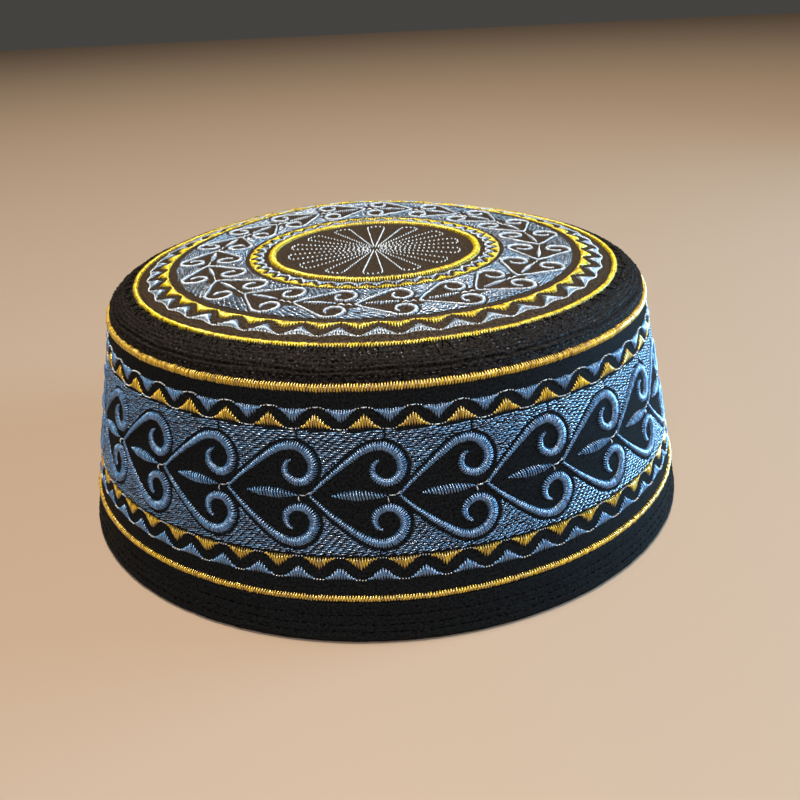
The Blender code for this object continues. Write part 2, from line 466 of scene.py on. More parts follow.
def cloth_wall(cloth, flat=False):
    """A closed wall of cloth along the curve. A flat one starts at the crown's middle."""
    outer = np.linspace(cloth.start, cloth.stop, cloth.rows)
    ring_along = np.concatenate([outer, np.linspace(cloth.stop, cloth.start, INSIDE_ROWS)])
    columns, outside = cloth.columns, slice(0, cloth.rows)
    along, turn = np.meshgrid(ring_along, turns_round(columns), indexing="ij")
    lift = np.full(along.shape, -cloth.thickness)
    lift[outside] = cloth.relief(along[outside], turn[outside])
    points = on_cap(along, turn, lift)
    points[..., 2] = np.maximum(points[..., 2], 0.0)
    points = points.reshape(-1, 3)

    row, place = grid_faces(len(ring_along), columns, not flat)
    corners = (row % len(ring_along) * columns + place % columns).ravel()
    sides = np.full(len(row), 4)
    if flat:
        middles = on_cap(np.zeros(2), np.zeros(2), np.array([0.0, -cloth.thickness]))
        top, under = len(points), len(points) + 1
        first = np.arange(columns)
        second = (first + 1) % columns
        last = (len(ring_along) - 1) * columns
        above = np.stack([np.full(columns, top), first, second], 1)
        below = np.stack([np.full(columns, under), last + second, last + first], 1)
        points = np.concatenate([points, middles])
        corners = np.concatenate([corners, above.ravel(), below.ravel()])
        sides = np.concatenate([sides, np.full(2 * columns, 3)])
        weave = points[corners, :2]
        rows = len(ring_along) + 1
        fan = np.stack([first + 0.5, first, first + 1.0], 1) / columns
        back = np.stack([first + 0.5, first + 1.0, first], 1) / columns
        tops = np.stack([fan, np.tile([0.0, 1.0, 1.0], (columns, 1)) / rows], -1)
        unders = np.stack([back, np.tile([rows, rows - 1.0, rows - 1.0], (columns, 1)) / rows], -1)
        bake = np.concatenate([strips(row + 1, rows, place, columns), *tops, *unders])
    else:
        girth = ROUND * radius_at(np.mean(outer))
        weave = np.stack([place / columns * girth, ring_along[row % len(ring_along)]], -1).reshape(-1, 2)
        bake = strips(row, len(ring_along), place, columns)

    mesh = new_piece(cloth.name, points, corners, sides, cloth.finish, [cloth.node])
    add_map(mesh, "cloth", weave)
    add_map(mesh, "OFBake", bake)


# %% Relief of the cloth
CLOTH = 2.2
HEM_CLOTH = 2.6
HEM_TOP = 10.8
SEAM = 0.06         # the bare slit between two pieces of cloth
UNEVEN = 0.08       # how far plain cloth strays up and down
UNEVEN_RATE = 1.1   # how fast, in radians for each millimetre
SHOULDER_ROWS = (1.6, 2.7, 3.5, 4.4, 5.5, 6.6, 7.7, 8.8, 10.2)  # millimetres past the crown's seam
SHOULDER_LUMPS = Lumps(0.25, 1.1, 45)
GROOVE = 7          # the row that is drawn in deepest
GROOVE_DEPTH = 0.4
GROOVE_WIDTH = 0.25
HEM_ROWS = (10.4, 7.5, 5.0, 3.0, 0.6)  # heights
HEM_LUMPS = Lumps(0.08, 2.0, 46)
FOLD = 1.1          # the radius of the hem's lower fold

shoulder_start = at_radius(SHOULDER_RADIUS)
wall_start = at_height(SHOULDER_FOOT)
SHOULDER_QUILTING = Quilting(shoulder_start + np.array(SHOULDER_ROWS), waver=0.25, rib=0.7, spacing=1.3,
                             width=0.25, depth=0.8, seed=40)
HEM_QUILTING = Quilting(at_height(HEM_ROWS), waver=0.2, rib=0.2, spacing=3.5, width=0.35, depth=0.6, seed=50)


def plain(along, turn):
    """Cloth that is sewn down all over: only a slow unevenness."""
    return UNEVEN * np.sin(along * UNEVEN_RATE + wobble(turn, seed=5, size=2.0))


def shoulder_relief(along, turn):
    """Fine puckered ribs, and one deep groove."""
    away = along - stitch_row(SHOULDER_QUILTING, GROOVE, turn)
    puckered = ribs(SHOULDER_QUILTING, along, turn) + lumpiness(SHOULDER_LUMPS, along, turn)
    return puckered - GROOVE_DEPTH * np.exp(-0.5 * (away / GROOVE_WIDTH) ** 2)


def hem_relief(along, turn):
    """Low ribs, and the fold that rounds the lower edge."""
    share = np.clip((along - (HEM - FOLD)) / FOLD, 0.0, 1.0)
    cloth = ribs(HEM_QUILTING, along, turn) + lumpiness(HEM_LUMPS, along, turn)
    return cloth - FOLD * (1.0 - np.sqrt(1.0 - share ** 2))


print(f"from the crown's seam to the wall the shoulder is {wall_start - shoulder_start:.1f} mm long")

# %% The four cloth pieces
cloth_wall(Cloth("crown_cloth", "crown_panel", "embroidered_crown", start=1.0,
                 stop=shoulder_start - SEAM / 2, rows=50, columns=240, relief=plain, thickness=CLOTH,
                 finish=sheen_lit_crown_satin), flat=True)
cloth_wall(Cloth("shoulder_cloth", "shoulder_band", "black_quilting", start=shoulder_start + SEAM / 2,
                 stop=wall_start - SEAM, rows=52, columns=1080, relief=shoulder_relief, thickness=CLOTH,
                 finish=sheen_lit_quilted_satin))
cloth_wall(Cloth("wall_cloth", "side_wall", "embroidered_wall", start=wall_start,
                 stop=at_height(HEM_TOP + SEAM), rows=40, columns=360, relief=plain, thickness=CLOTH,
                 finish=flat_satin))
cloth_wall(Cloth("hem_cloth", "hem_band", "black_quilting", start=at_height(HEM_TOP), stop=HEM, rows=26,
                 columns=720, relief=hem_relief, thickness=HEM_CLOTH, finish=flat_satin))

# %% [markdown]
# One function sews everything. It takes stitches as pairs of places on the cap and makes each a
# closed little strand: its ends dive into the cloth, its middle stands proud, and its section is a
# half-round with three corners, which smooth shading turns into a thread. Long satin stitches stand
# higher than short ones, as they do over padding. Each strand also leans and strays a little, so that
# neighbours catch the light differently. Real 40-weight thread lies about 0.4 mm wide.

# %% Sewing
Lay = namedtuple("Lay", "share lift girth")
SATIN_LAY = (Lay(0.0, -0.3, 0.7), Lay(0.25, 0.9, 1.0), Lay(0.75, 0.9, 1.0), Lay(1.0, -0.3, 0.7))
LOW_LAY = (Lay(0.0, -0.2, 0.8), Lay(0.35, 0.9, 1.0), Lay(0.65, 0.9, 1.0), Lay(1.0, -0.2, 0.8))
SHORT_LAY = (Lay(0.0, -0.3, 0.7), Lay(0.5, 1.0, 1.0), Lay(1.0, -0.3, 0.7))
SECTION = np.array([(-0.5, 0.0), (0.0, 0.8), (0.5, 0.0)])  # across and out, in thread widths
TWIST_AHEAD = (-1.5, 0.0, 1.5)  # the twist's phase at the section's corners, in radians
ROLL = 0.15          # how far a thread leans to one side, in radians
LOOSE = 0.04         # how far it strays up or down, in millimetres
WIDTH_SPREAD = 0.08  # how much threads differ in width
Loft = namedtuple("Loft", "least share most")  # how high a stitch stands for its length
CELL_LENGTH = 3.0    # a stitch's cell on the bake map is so many times as long as wide
CELL_END = 0.06      # the share at either end of a cell that the strand's end takes
CELL_FILL = 0.96     # how much of its cell a stitch fills


def atlas(count):
    """Corner places of so many cells that fill a square, and the size of a cell."""
    columns = max(int(round(math.sqrt(count * CELL_LENGTH))), 1)
    rows = math.ceil(count / columns)
    number = np.arange(count)
    return np.stack([number % columns / columns, number // columns / rows], 1), (1 / columns, 1 / rows)


def sew(name, stitches, finish, width, loft, lay=SATIN_LAY, spread=0.12, replaces=(), seed=1):
    """Sews rows of (along, turn, along, turn) as one piece. Spread is how much their heights differ."""
    draw = np.random.default_rng(seed)
    count, rings, sides = len(stitches), len(lay), len(SECTION)
    start, stop = stitches[:, :2], stitches[:, 2:]
    share, lift, girth = (np.array(column) for column in zip(*lay))
    length = np.linalg.norm(on_cap(*stop.T) - on_cap(*start.T), axis=1)
    rise = np.clip(loft.least + loft.share * length, 0.0, loft.most)
    rise *= draw.uniform(1.0 - spread, 1.0 + spread, count)
    places = start[:, None] + (stop - start)[:, None] * share[:, None]
    stray = draw.normal(0.0, LOOSE, (count, rings)) * (lift > 0.0)
    middles = on_cap(places[..., 0], places[..., 1], rise[:, None] * lift + stray)
    out = off_cap(places[..., 0], places[..., 1])
    ahead = (middles[:, -1] - middles[:, 0])[:, None]
    across = np.cross(ahead, out)
    across /= np.linalg.norm(across, axis=-1, keepdims=True)
    roll = draw.normal(0.0, ROLL, count)[:, None, None]
    out, across = np.cos(roll) * out + np.sin(roll) * across, np.cos(roll) * across - np.sin(roll) * out
    widths = width * draw.uniform(1.0 - WIDTH_SPREAD, 1.0 + WIDTH_SPREAD, count)
    wide = widths[:, None, None, None] * girth[None, :, None, None]
    corner = SECTION[:, 0, None] * across[:, :, None] + SECTION[:, 1, None] * out[:, :, None]
    points = (middles[:, :, None] + corner * wide).reshape(-1, 3)

    ring, side = np.meshgrid(np.arange(rings - 1), np.arange(sides), indexing="ij")
    steps = ((0, 0), (0, 1), (1, 1), (1, 0))
    quad = np.stack([(ring + down) * sides + (side + step) % sides for down, step in steps], -1)
    caps = np.stack([np.arange(sides)[::-1], (rings - 1) * sides + np.arange(sides)])
    one = np.concatenate([quad.ravel(), caps.ravel()])
    corners = (np.arange(count)[:, None] * rings * sides + one).ravel()
    face_sides = np.tile(np.repeat([4, sides], [quad.size // 4, 2]), count)
    mesh = new_piece(name, points, corners, face_sides, finish, replaces)

    far = CELL_END + (1.0 - 2.0 * CELL_END) * share
    quad_map = np.stack([np.stack([(side + step) / sides, far[ring + down]], -1)
                         for down, step in steps], -2).reshape(-1, 2)
    cap_map = [(1.0, 0.0), (0.5, 0.04), (0.0, 0.0), (0.0, 1.0), (0.5, 0.96), (1.0, 1.0)]
    cells, cell = atlas(count)
    one_map = np.concatenate([quad_map, cap_map]) * cell * CELL_FILL
    add_map(mesh, "OFBake", cells[:, None] + one_map)
    run = share * length[:, None] + draw.uniform(0.0, TWIST_MM, count)[:, None]
    shade = draw.uniform(0.0, 1.0, count)
    for label, value in (("shade", shade[:, None, None]), ("run", run[:, :, None]), ("side", TWIST_AHEAD)):
        add_values(mesh, label, np.broadcast_to(value, (count, rings, sides)))


def zigzag(first, second):
    """Stitches that go to and fro between two rows of places. The first row has one place more."""
    there = np.concatenate([first[:-1], second], 1)
    back = np.concatenate([second, first[1:]], 1)
    return np.stack([there, back], 1).reshape(-1, 4)


# %% [markdown]
# The gold lines are dense satin stitch over the seams: the needle swings across the line and back
# every 0.72 mm, so both edges show small teeth. The line stands about 0.8 mm proud, in the place of
# the half-round strips of the frame.

# %% The gold lines
SATIN_PAIR = 0.72    # millimetres for one stitch across and one back
LINE_WAVER = 0.05    # how far the whole line strays
TOOTH_LOOSE = 0.07   # how far each tooth strays
TOOTH_SLANT = 0.25   # how far a stitch leans ahead, as a share of a pair
THREAD = 0.34
GOLD_LOFT = Loft(0.2, 0.18, 0.62)

SatinLine = namedtuple("SatinLine", "name middle width finish seed")
SATIN_LINES = (
    SatinLine("medallion", at_radius(32.0), 2.3, crown_lit_gold, 21),
    SatinLine("crown", at_radius(SHOULDER_RADIUS + 0.6), 1.7, crown_lit_gold, 22),
    SatinLine("wall_upper", at_height(64.8), 2.2, wall_shaded_gold, 23),
    SatinLine("wall_lower", at_height(12.0), 1.65, wall_shaded_gold, 24),
)


def satin_ring(line):
    """Satin stitch to and fro across a gold line, all the way round."""
    draw = np.random.default_rng(line.seed)
    count = int(ROUND * radius_at(line.middle) / SATIN_PAIR)
    turn = np.arange(count + 1) / count * ROUND
    middle = line.middle + wobble(turn, line.seed, LINE_WAVER)
    upper = middle - line.width / 2 + draw.normal(0.0, TOOTH_LOOSE, count + 1)
    lower = middle + line.width / 2 + draw.normal(0.0, TOOTH_LOOSE, count + 1)
    upper[-1] = upper[0]
    ahead = TOOTH_SLANT * ROUND / count
    return zigzag(np.stack([upper, turn], 1), np.stack([lower[:-1], turn[:-1] + ahead], 1))


for line in SATIN_LINES:
    sew(line.name + "_gold_satin", satin_ring(line), line.finish, THREAD, GOLD_LOFT,
        replaces=[line.name + "_gold_line"], seed=line.seed)

# %% [markdown]
# Beside each gold line runs a zigzag border: two rows of triangles that point at each other, half a
# step apart, with a band of bare satin left between them. A triangle is satin stitch too, worked
# straight up from its base, so its two slopes are toothed. Between two triangles run small white
# stitches, a little outside the base line, but the crown's gold triangles stand corner to corner.
# The crown's outer row has bent bases, edged with white stitches too, which are a painted highlight:
# they stand for the light that the lamp above throws on the triangles' thread tips.

# %% Rows of triangles
LONG_RUN = (0.45, 0.4, 1.7, 0.4, 0.45)  # the running stitches between two triangles
SHORT_RUN = (0.4, 0.35, 0.35, 0.4)

# base and tip are distances along the curve, first is the turn of the first triangle in degrees,
# wide is the base's length, bow is how far the running stitches leave the base line and dish is how
# far the base itself bends in, all in mm
TriangleRow = namedtuple("TriangleRow", "base tip count first wide bow run dish", defaults=(0.0,))
GOLD_WALL_ROWS = (
    TriangleRow(at_height(55.1), at_height(58.6), 45, 4.75, 7.2, 0.35, LONG_RUN),
    TriangleRow(at_height(22.7), at_height(19.3), 54, 1.93, 7.6, 0.0, SHORT_RUN),
)
BLUE_WALL_ROWS = (
    TriangleRow(at_height(59.7), at_height(56.2), 45, 0.95, 6.9, 0.5, LONG_RUN),
    TriangleRow(at_height(17.0), at_height(20.2), 54, 5.26, 7.6, 0.1, SHORT_RUN),
)
GOLD_CROWN_ROWS = (
    TriangleRow(at_radius(63.6), at_radius(66.8), 43, 4.186, 8.9, 0.0, ()),
    TriangleRow(at_radius(39.0), at_radius(36.2), 43, 4.186, 5.4, 0.0, ()),
)
PALE_CROWN_ROWS = (
    TriangleRow(at_radius(69.7), at_radius(65.7), 43, 0.0, 7.4, 0.4, LONG_RUN, 0.7),
    TriangleRow(at_radius(34.9), at_radius(37.6), 43, 0.0, 3.9, 0.2, SHORT_RUN),
)

border_rows = GOLD_WALL_ROWS + BLUE_WALL_ROWS + GOLD_CROWN_ROWS + PALE_CROWN_ROWS
print("triangles in the borders:", sum(row.count for row in border_rows))

# %% Stitches of a triangle
TRIANGLE_PAIR = 0.68
SLOPE_RISE = 1.03        # where a triangle's two slopes would meet, as a share of its height
SHORTEST_SHARE = 0.16    # the shares of it that its shortest and longest stitches reach
LONGEST_SHARE = 0.96
Looseness = namedtuple("Looseness", "foot tip side run")
LOOSE_ENDS = Looseness(0.06, 0.09, 0.04, 0.05)  # how far stitches' ends stray, in mm


def base_line(row, across):
    """Where the base of a triangle runs, at places told from its middle."""
    return row.base + math.copysign(row.dish, row.tip - row.base) * (1.0 - (2.0 * across / row.wide) ** 2)


def triangle_stitches(row, seed):
    """The satin stitches of a row of triangles."""
    draw = np.random.default_rng(seed)
    radius = radius_at(row.base)
    pairs = int(row.wide / TRIANGLE_PAIR / 2) * 2 + 1
    across = np.linspace(-0.5, 0.5, pairs + 1) * row.wide
    middle = (across[1:] + across[:-1]) / 2
    rise = SLOPE_RISE * (1.0 - 2.0 * np.abs(middle) / row.wide)
    height = (row.tip - row.base) * np.clip(rise, SHORTEST_SHARE, LONGEST_SHARE)
    parts = []
    for turn in turns_round(row.count, row.first):
        feet = base_line(row, across) + draw.normal(0.0, LOOSE_ENDS.foot, pairs + 1)
        tips = row.base + height + draw.normal(0.0, LOOSE_ENDS.tip, pairs)
        places = turn + (middle + draw.normal(0.0, LOOSE_ENDS.side, pairs)) / radius
        parts.append(zigzag(np.stack([feet, turn + across / radius], 1), np.stack([tips, places], 1)))
    return np.concatenate(parts)


# %% Running stitches beside the triangles
RUN_GAP = 0.42
EDGE_COUNT = 7  # stitches along a bent base
EDGE_OUT = 0.2  # how far outside it they lie


def line_stitches(row, starts, stops, line, seed):
    """The same stitches on a line beside every triangle of a row, at places told from its middle."""
    draw = np.random.default_rng(seed)
    radius = radius_at(row.base)
    parts = []
    for turn in turns_round(row.count, row.first):
        ends = []
        for across in (starts, stops):
            ends += [line(across) + draw.normal(0.0, LOOSE_ENDS.run, len(across)), turn + across / radius]
        parts.append(np.stack(ends, 1))
    return np.concatenate(parts)


def run_stitches(row, seed):
    """The running stitches that join the triangles of a row, on a line that bows out between them."""
    free = ROUND * radius_at(row.base) / row.count - row.wide
    scale = free / (sum(row.run) + RUN_GAP * len(row.run))
    stops = row.wide / 2 + np.cumsum(row.run + np.array(RUN_GAP)) * scale
    starts = np.concatenate([[row.wide / 2], stops[:-1]])
    bow = math.copysign(row.bow, row.base - row.tip)

    def bowed(across):
        return row.base + bow * np.sin(math.pi * (across - row.wide / 2) / free)

    return line_stitches(row, starts, stops - RUN_GAP * scale, bowed, seed)


def edge_glint_stitches(row, seed):
    """Stitches along each triangle's base, sewn white as a painted highlight on its tips."""
    across = np.linspace(-0.5, 0.5, EDGE_COUNT + 1) * row.wide
    starts, stops = across[:-1] + RUN_GAP / 4, across[1:] - RUN_GAP / 4
    return line_stitches(row, starts, stops, lambda place: base_line(row, place) + EDGE_OUT, seed)


# %% Zigzag borders
LOW_LOFT = Loft(0.15, 0.07, 0.4)
BLUE_TRIANGLE_THREAD = 0.4


def border(name, rows, finish, seed, thread=THREAD):
    """One piece of all these triangles. Gives back the running stitches between them."""
    satin = [triangle_stitches(row, seed + number) for number, row in enumerate(rows)]
    sew(name, np.concatenate(satin), finish, thread, LOW_LOFT, LOW_LAY, seed=seed)
    return [run_stitches(row, seed + 10 + number) for number, row in enumerate(rows) if row.run]


wall_runs = [
    *border("wall_gold_triangles", GOLD_WALL_ROWS, wall_shaded_gold, 31),
    *border("wall_blue_triangles", BLUE_WALL_ROWS, blue_thread, 32,
            BLUE_TRIANGLE_THREAD),
]
# The white stitches on the crown's bent bases are a painted highlight on the triangles' thread tips
crown_runs = [
    *border("crown_gold_triangles", GOLD_CROWN_ROWS, crown_lit_gold, 33),
    *border("crown_pale_triangles", PALE_CROWN_ROWS, crown_lit_triangle_thread, 34),
    edge_glint_stitches(PALE_CROWN_ROWS[0], 35),
]

# %% [markdown]
# The broad bands hold one heart scroll after another: from a node two arms rise and fall, widen, and
# curl inward to a point, with a slim leaf between them. An arm is satin stitch whose threads cross it
# square, and the needle's step is even along its outer edge. A leaf's threads all slant one way and
# lie open. Scrolls of this kind are common ornament; one is drawn here as a row of places from its
# node, in mm, and mirrored for the lower arm.

# %% Arms of a scroll
ArmRow = namedtuple("ArmRow", "across up width")
WALL_ARM = (
    ArmRow(0.0, 0.2, 0.7), ArmRow(4.1, 4.1, 1.1), ArmRow(8.7, 7.9, 1.6),
    ArmRow(13.3, 11.2, 2.1), ArmRow(16.1, 12.3, 2.4), ArmRow(18.8, 12.3, 2.5),
    ArmRow(21.3, 10.9, 2.65), ArmRow(22.9, 8.1, 2.7), ArmRow(22.6, 5.4, 2.6),
    ArmRow(20.7, 3.5, 2.3), ArmRow(18.4, 3.3, 2.15), ArmRow(16.3, 4.45, 2.0),
    ArmRow(15.6, 6.3, 1.7), ArmRow(16.2, 8.1, 1.2), ArmRow(17.5, 9.0, 0.6),
)
CROWN_ARM = (
    ArmRow(0.0, 0.0, 0.45), ArmRow(1.9, 2.1, 0.5), ArmRow(4.7, 4.5, 0.6),
    ArmRow(7.4, 6.7, 0.7), ArmRow(9.3, 8.4, 0.8), ArmRow(11.0, 9.3, 0.9),
    ArmRow(13.5, 9.1, 1.0), ArmRow(15.2, 7.2, 1.1), ArmRow(15.5, 4.9, 1.1),
    ArmRow(14.3, 2.9, 1.0), ArmRow(12.7, 2.3, 0.9), ArmRow(11.2, 2.8, 0.8),
    ArmRow(10.3, 4.4, 0.7), ArmRow(10.4, 5.9, 0.6), ArmRow(11.2, 6.7, 0.4),
)

# %% Bands of scrolls
# along and radius say where the row's axis runs, and outward is the sign of along that a scroll's "up"
# takes. First is the turn of the first node in degrees. A straight band has its scrolls drawn flat,
# from node to node, on the round crown. High and low are how far its field reaches each way from the
# axis, high_nick and low_nick are where the field is parted beside the scroll's crest, outline is the
# bare satin beside an arm, row_step is from one row of the field to the next and thread is how wide
# the field's thread is, all in mm
Band = namedtuple("Band", "name slot along radius outward count first straight arm leaf high low high_nick "
                          "low_nick outline row_step thread")
Leaf = namedtuple("Leaf", "start stop half")
WALL_BAND = Band("wall", "embroidered_wall", along=at_height(38.45), radius=87.6, outward=-1.0, count=25,
                 first=1.88, straight=False, arm=WALL_ARM, leaf=Leaf(5.7, 18.9, 1.4), high=16.2, low=15.4,
                 high_nick=19.0, low_nick=16.5, outline=0.7, row_step=0.54, thread=0.4)
CROWN_BAND = Band("crown", "embroidered_crown", along=at_radius(51.7), radius=51.7, outward=1.0, count=19,
                  first=-6.6, straight=True, arm=CROWN_ARM, leaf=Leaf(3.1, 11.6, 0.65), high=9.5, low=11.4,
                  high_nick=10.0, low_nick=11.8, outline=0.5, row_step=0.52, thread=0.32)

for band in (WALL_BAND, CROWN_BAND):
    print(f"{band.name}: {band.count} scrolls, {ROUND * band.radius / band.count:.1f} mm apart")

# %% Paths and places of a scroll
LOOSE_STITCH = 0.05  # how far a repeated stitch's ends stray


def smooth_rows(rows, step):
    """A denser path through rows of an arm, rounded between them (Catmull-Rom)."""
    knots = np.array(rows, float)
    knots = np.concatenate([[2 * knots[0] - knots[1]], knots, [2 * knots[-1] - knots[-2]]])
    pieces = []
    for before, start, stop, after in zip(knots, knots[1:], knots[2:], knots[3:]):
        count = max(int(math.hypot(*(stop - start)[:2]) / step), 2)
        t = np.linspace(0.0, 1.0, count, endpoint=False)[:, None]
        pieces.append(0.5 * (2 * start + (stop - before) * t
                             + (2 * before - 5 * start + 4 * stop - after) * t ** 2
                             + (3 * start - before - 3 * stop + after) * t ** 3))
    return np.concatenate(pieces + [knots[-2:-1]])


def bent(band, flat):
    """Stitches of a scroll, moved from the straight line between two nodes to the band's arc."""
    if not band.straight:
        return flat
    lean = math.pi / band.count
    ends = []
    for across, up in (flat[:, :2].T, flat[:, 2:].T):
        ahead = across * math.cos(lean) + up * math.sin(lean)
        out = band.radius - across * math.sin(lean) + up * math.cos(lean)
        ends += [np.arctan2(ahead, out) * band.radius, np.hypot(ahead, out) - band.radius]
    return np.stack(ends, 1)


def unbent(band, points):
    """Points of a band, moved the other way: from its arc to the straight line."""
    if not band.straight:
        return points
    lean = math.pi / band.count
    turn, radius = points[:, 0] / band.radius, band.radius + points[:, 1]
    ahead, out = radius * np.sin(turn), radius * np.cos(turn) - band.radius
    return np.stack([ahead * math.cos(lean) - out * math.sin(lean),
                     ahead * math.sin(lean) + out * math.cos(lean)], 1)


def onto_band(band, node, flat):
    """Stitches told as (across, up, across, up) from a node, as places on the cap."""
    start = band.along + band.outward * flat[:, 1]
    stop = band.along + band.outward * flat[:, 3]
    return np.stack([start, node + flat[:, 0] / band.radius, stop, node + flat[:, 2] / band.radius], 1)


def repeated(band, flat, seed, loose=LOOSE_STITCH):
    """The same stitches at every node of a band, each a little loose."""
    draw = np.random.default_rng(seed)
    nodes = turns_round(band.count, band.first)
    copies = [onto_band(band, node, flat + draw.normal(0.0, loose, flat.shape)) for node in nodes]
    return np.concatenate(copies)


# %% Stitches of a scroll
OUTER_STEP = 0.72  # millimetres between teeth on the outer edge of an arm
LEAF_STEP = 0.75   # between a leaf's threads
LEAF_SLANT = 0.3
LEAF_TIP = 0.15    # half the width that its tips keep


def arm_stitches(rows):
    """Satin stitch across an arm, stepped evenly along its outer (left) edge."""
    path = smooth_rows(rows, step=0.05)
    ahead = np.gradient(path[:, :2], axis=0)
    ahead /= np.linalg.norm(ahead, axis=1, keepdims=True)
    left = np.stack([-ahead[:, 1], ahead[:, 0]], 1) * path[:, 2:] / 2
    outer, inner = path[:, :2] + left, path[:, :2] - left
    run = distances(outer)
    teeth = int(run[-1] / OUTER_STEP)
    places = np.linspace(0.0, run[-1], 2 * teeth + 1)
    return zigzag(read(outer, run, places[::2]), read(inner, run, places[1::2]))


def mirrored(flat):
    """The same stitches on the other side of the axis."""
    return flat * (1.0, -1.0, 1.0, -1.0)


def leaf_stitches(leaf):
    """Open satin stitch across a slim leaf on the axis. Its threads slant a little."""
    across = np.arange(leaf.start, leaf.stop, LEAF_STEP)
    share = (across - leaf.start) / (leaf.stop - leaf.start)
    half = np.maximum(leaf.half * np.sin(math.pi * share ** 0.95) ** 0.8, LEAF_TIP)
    return np.stack([across - LEAF_SLANT, half, across + LEAF_SLANT, -half], 1)


# %% Scrolls and leaves
SCROLL_THREAD = 0.38
LEAF_THREAD = 0.46
SATIN_LOFT = Loft(0.15, 0.2, 0.65)
for band, finish, seed in ((WALL_BAND, blue_thread, 51), (CROWN_BAND, pale_thread, 52)):
    arm = arm_stitches(band.arm)
    for part, flat, thread in (("scrolls", np.concatenate([arm, mirrored(arm)]), SCROLL_THREAD),
                               ("leaves", leaf_stitches(band.leaf), LEAF_THREAD)):
        sew(f"{band.name}_{part}", repeated(band, bent(band, flat), seed), finish, thread,
            SATIN_LOFT, seed=seed)
        seed += 10

# %% [markdown]
# The ground between the scrolls and the borders is filled with tatami stitch: close rows of long
# running stitches, each row a third of a stitch on from the last. Where stitches meet, the needle
# holes show as small dark gaps in slanting lines. A bare outline of satin is left round every arm.

# %% Bare satin


def inside(points, corners):
    """Which points lie inside a polygon."""
    found = np.zeros(len(points), bool)
    for (x0, y0), (x1, y1) in zip(corners, np.roll(corners, -1, 0)):
        crosses = (y0 > points[:, 1]) != (y1 > points[:, 1])
        if y0 != y1:
            found ^= crosses & (points[:, 0] < x0 + (points[:, 1] - y0) * (x1 - x0) / (y1 - y0))
    return found


def bare(band, points):
    """Which points of a band belong to its scrolls and their outlines."""
    path = smooth_rows(band.arm, step=0.2)
    far = path[:, 0] > path[:, 0].max() / 2
    turn_in = int(np.argmin(np.where(far, path[:, 1], np.inf)))  # where the arm comes nearest the axis
    heart = np.concatenate([path[:turn_in, :2], path[:turn_in, :2][::-1] * (1.0, -1.0)])
    step = band.radius * ROUND / band.count
    covered = np.zeros(len(points), bool)
    for shift in (-step, 0.0):
        local = unbent(band, points - (shift, 0.0))
        folded = np.stack([local[:, 0], np.abs(local[:, 1])], 1)
        away = np.linalg.norm(folded[:, None] - path[None, :, :2], axis=2) - path[:, 2] / 2
        covered |= inside(local, heart) | (away.min(1) < band.outline)
    return covered


# %% Rows of tatami
STITCH_LENGTH = 2.3
END_GAP = 0.2
SHORTEST = 0.6
SAMPLE_STEP = 0.1  # how finely a row is searched for its free stretches


def tatami(free, low, high, slope, row_step):
    """Rows of stitches over the part of a box that is free, as (across, up, across, up)."""
    ahead = np.array([math.cos(slope), math.sin(slope)])
    aside = np.array([-ahead[1], ahead[0]])
    corners = np.array([(x, y) for x in (low[0], high[0]) for y in (low[1], high[1])])
    runs, rows = corners @ ahead, corners @ aside
    samples = np.arange(runs.min(), runs.max(), SAMPLE_STEP)
    made = []
    for number, row in enumerate(np.arange(rows.min(), rows.max(), row_step)):
        points = samples[:, None] * ahead + row * aside
        open_here = free(points) & (points >= low).all(1) & (points <= high).all(1)
        edges = np.flatnonzero(np.diff(np.concatenate([[0], open_here.astype(int), [0]])))
        for start, stop in samples[np.minimum(edges, len(samples) - 1)].reshape(-1, 2):
            if stop - start < SHORTEST:
                continue
            offset = number % 3 * STITCH_LENGTH / 3
            first = math.floor((start - offset) / STITCH_LENGTH) + 1
            last = math.ceil((stop - offset) / STITCH_LENGTH)
            cuts = offset + STITCH_LENGTH * np.arange(first, last)
            cuts = cuts[(cuts > start + SHORTEST) & (cuts < stop - SHORTEST)]
            cuts = np.concatenate([[start], cuts, [stop]])
            for begin, end in zip(cuts, cuts[1:]):
                made.append([*(begin + END_GAP / 2) * ahead + row * aside,
                             *(end - END_GAP / 2) * ahead + row * aside])
    return np.array(made)


# %% Filled ground
AXIS_GAP = 2.6  # millimetres from the axis to the field's tip
NICK = 0.12     # half the bare nick above each curl
UPPER_SLOPE = math.radians(3.0)   # the lean of the rows above the axis
LOWER_SLOPE = math.radians(12.0)  # and below it
FIELD_LOFT = Loft(0.14, 0.03, 0.26)
FIELD_SPREAD = 0.6
FIELD_LOOSE = 0.08


def field(band, above):
    """The stitches of one gap between two scrolls, above or below the axis."""
    step = band.radius * ROUND / band.count
    nick, slope = (band.high_nick, UPPER_SLOPE) if above else (band.low_nick, LOWER_SLOPE)
    low = (nick + NICK - step, AXIS_GAP if above else -band.low)
    high = (nick - NICK, band.high if above else -AXIS_GAP)
    return tatami(lambda points: ~bare(band, points), low, high, slope, band.row_step)


for band, finish, seed in ((WALL_BAND, ground_thread, 61), (CROWN_BAND, crown_glare_ground_thread, 71)):
    for side in ("outer", "inner"):
        stitches = repeated(band, field(band, side == "outer"), seed, FIELD_LOOSE)
        sew(f"{band.name}_{side}_ground", stitches, finish, band.thread, FIELD_LOFT,
            spread=FIELD_SPREAD, seed=seed)
        seed += 1

# %% [markdown]
# The finer thread work comes last: the running stitches between the triangles, the short stitches
# from one scroll to the next, and the crown's medallion, a flower of fourteen petals that is only
# outlined. All are sewn in white, each stitch a little apart from the next.

# %% Running stitches
RUN_LOFT = Loft(0.25, 0.0, 0.3)
RUN_THREAD = 0.36

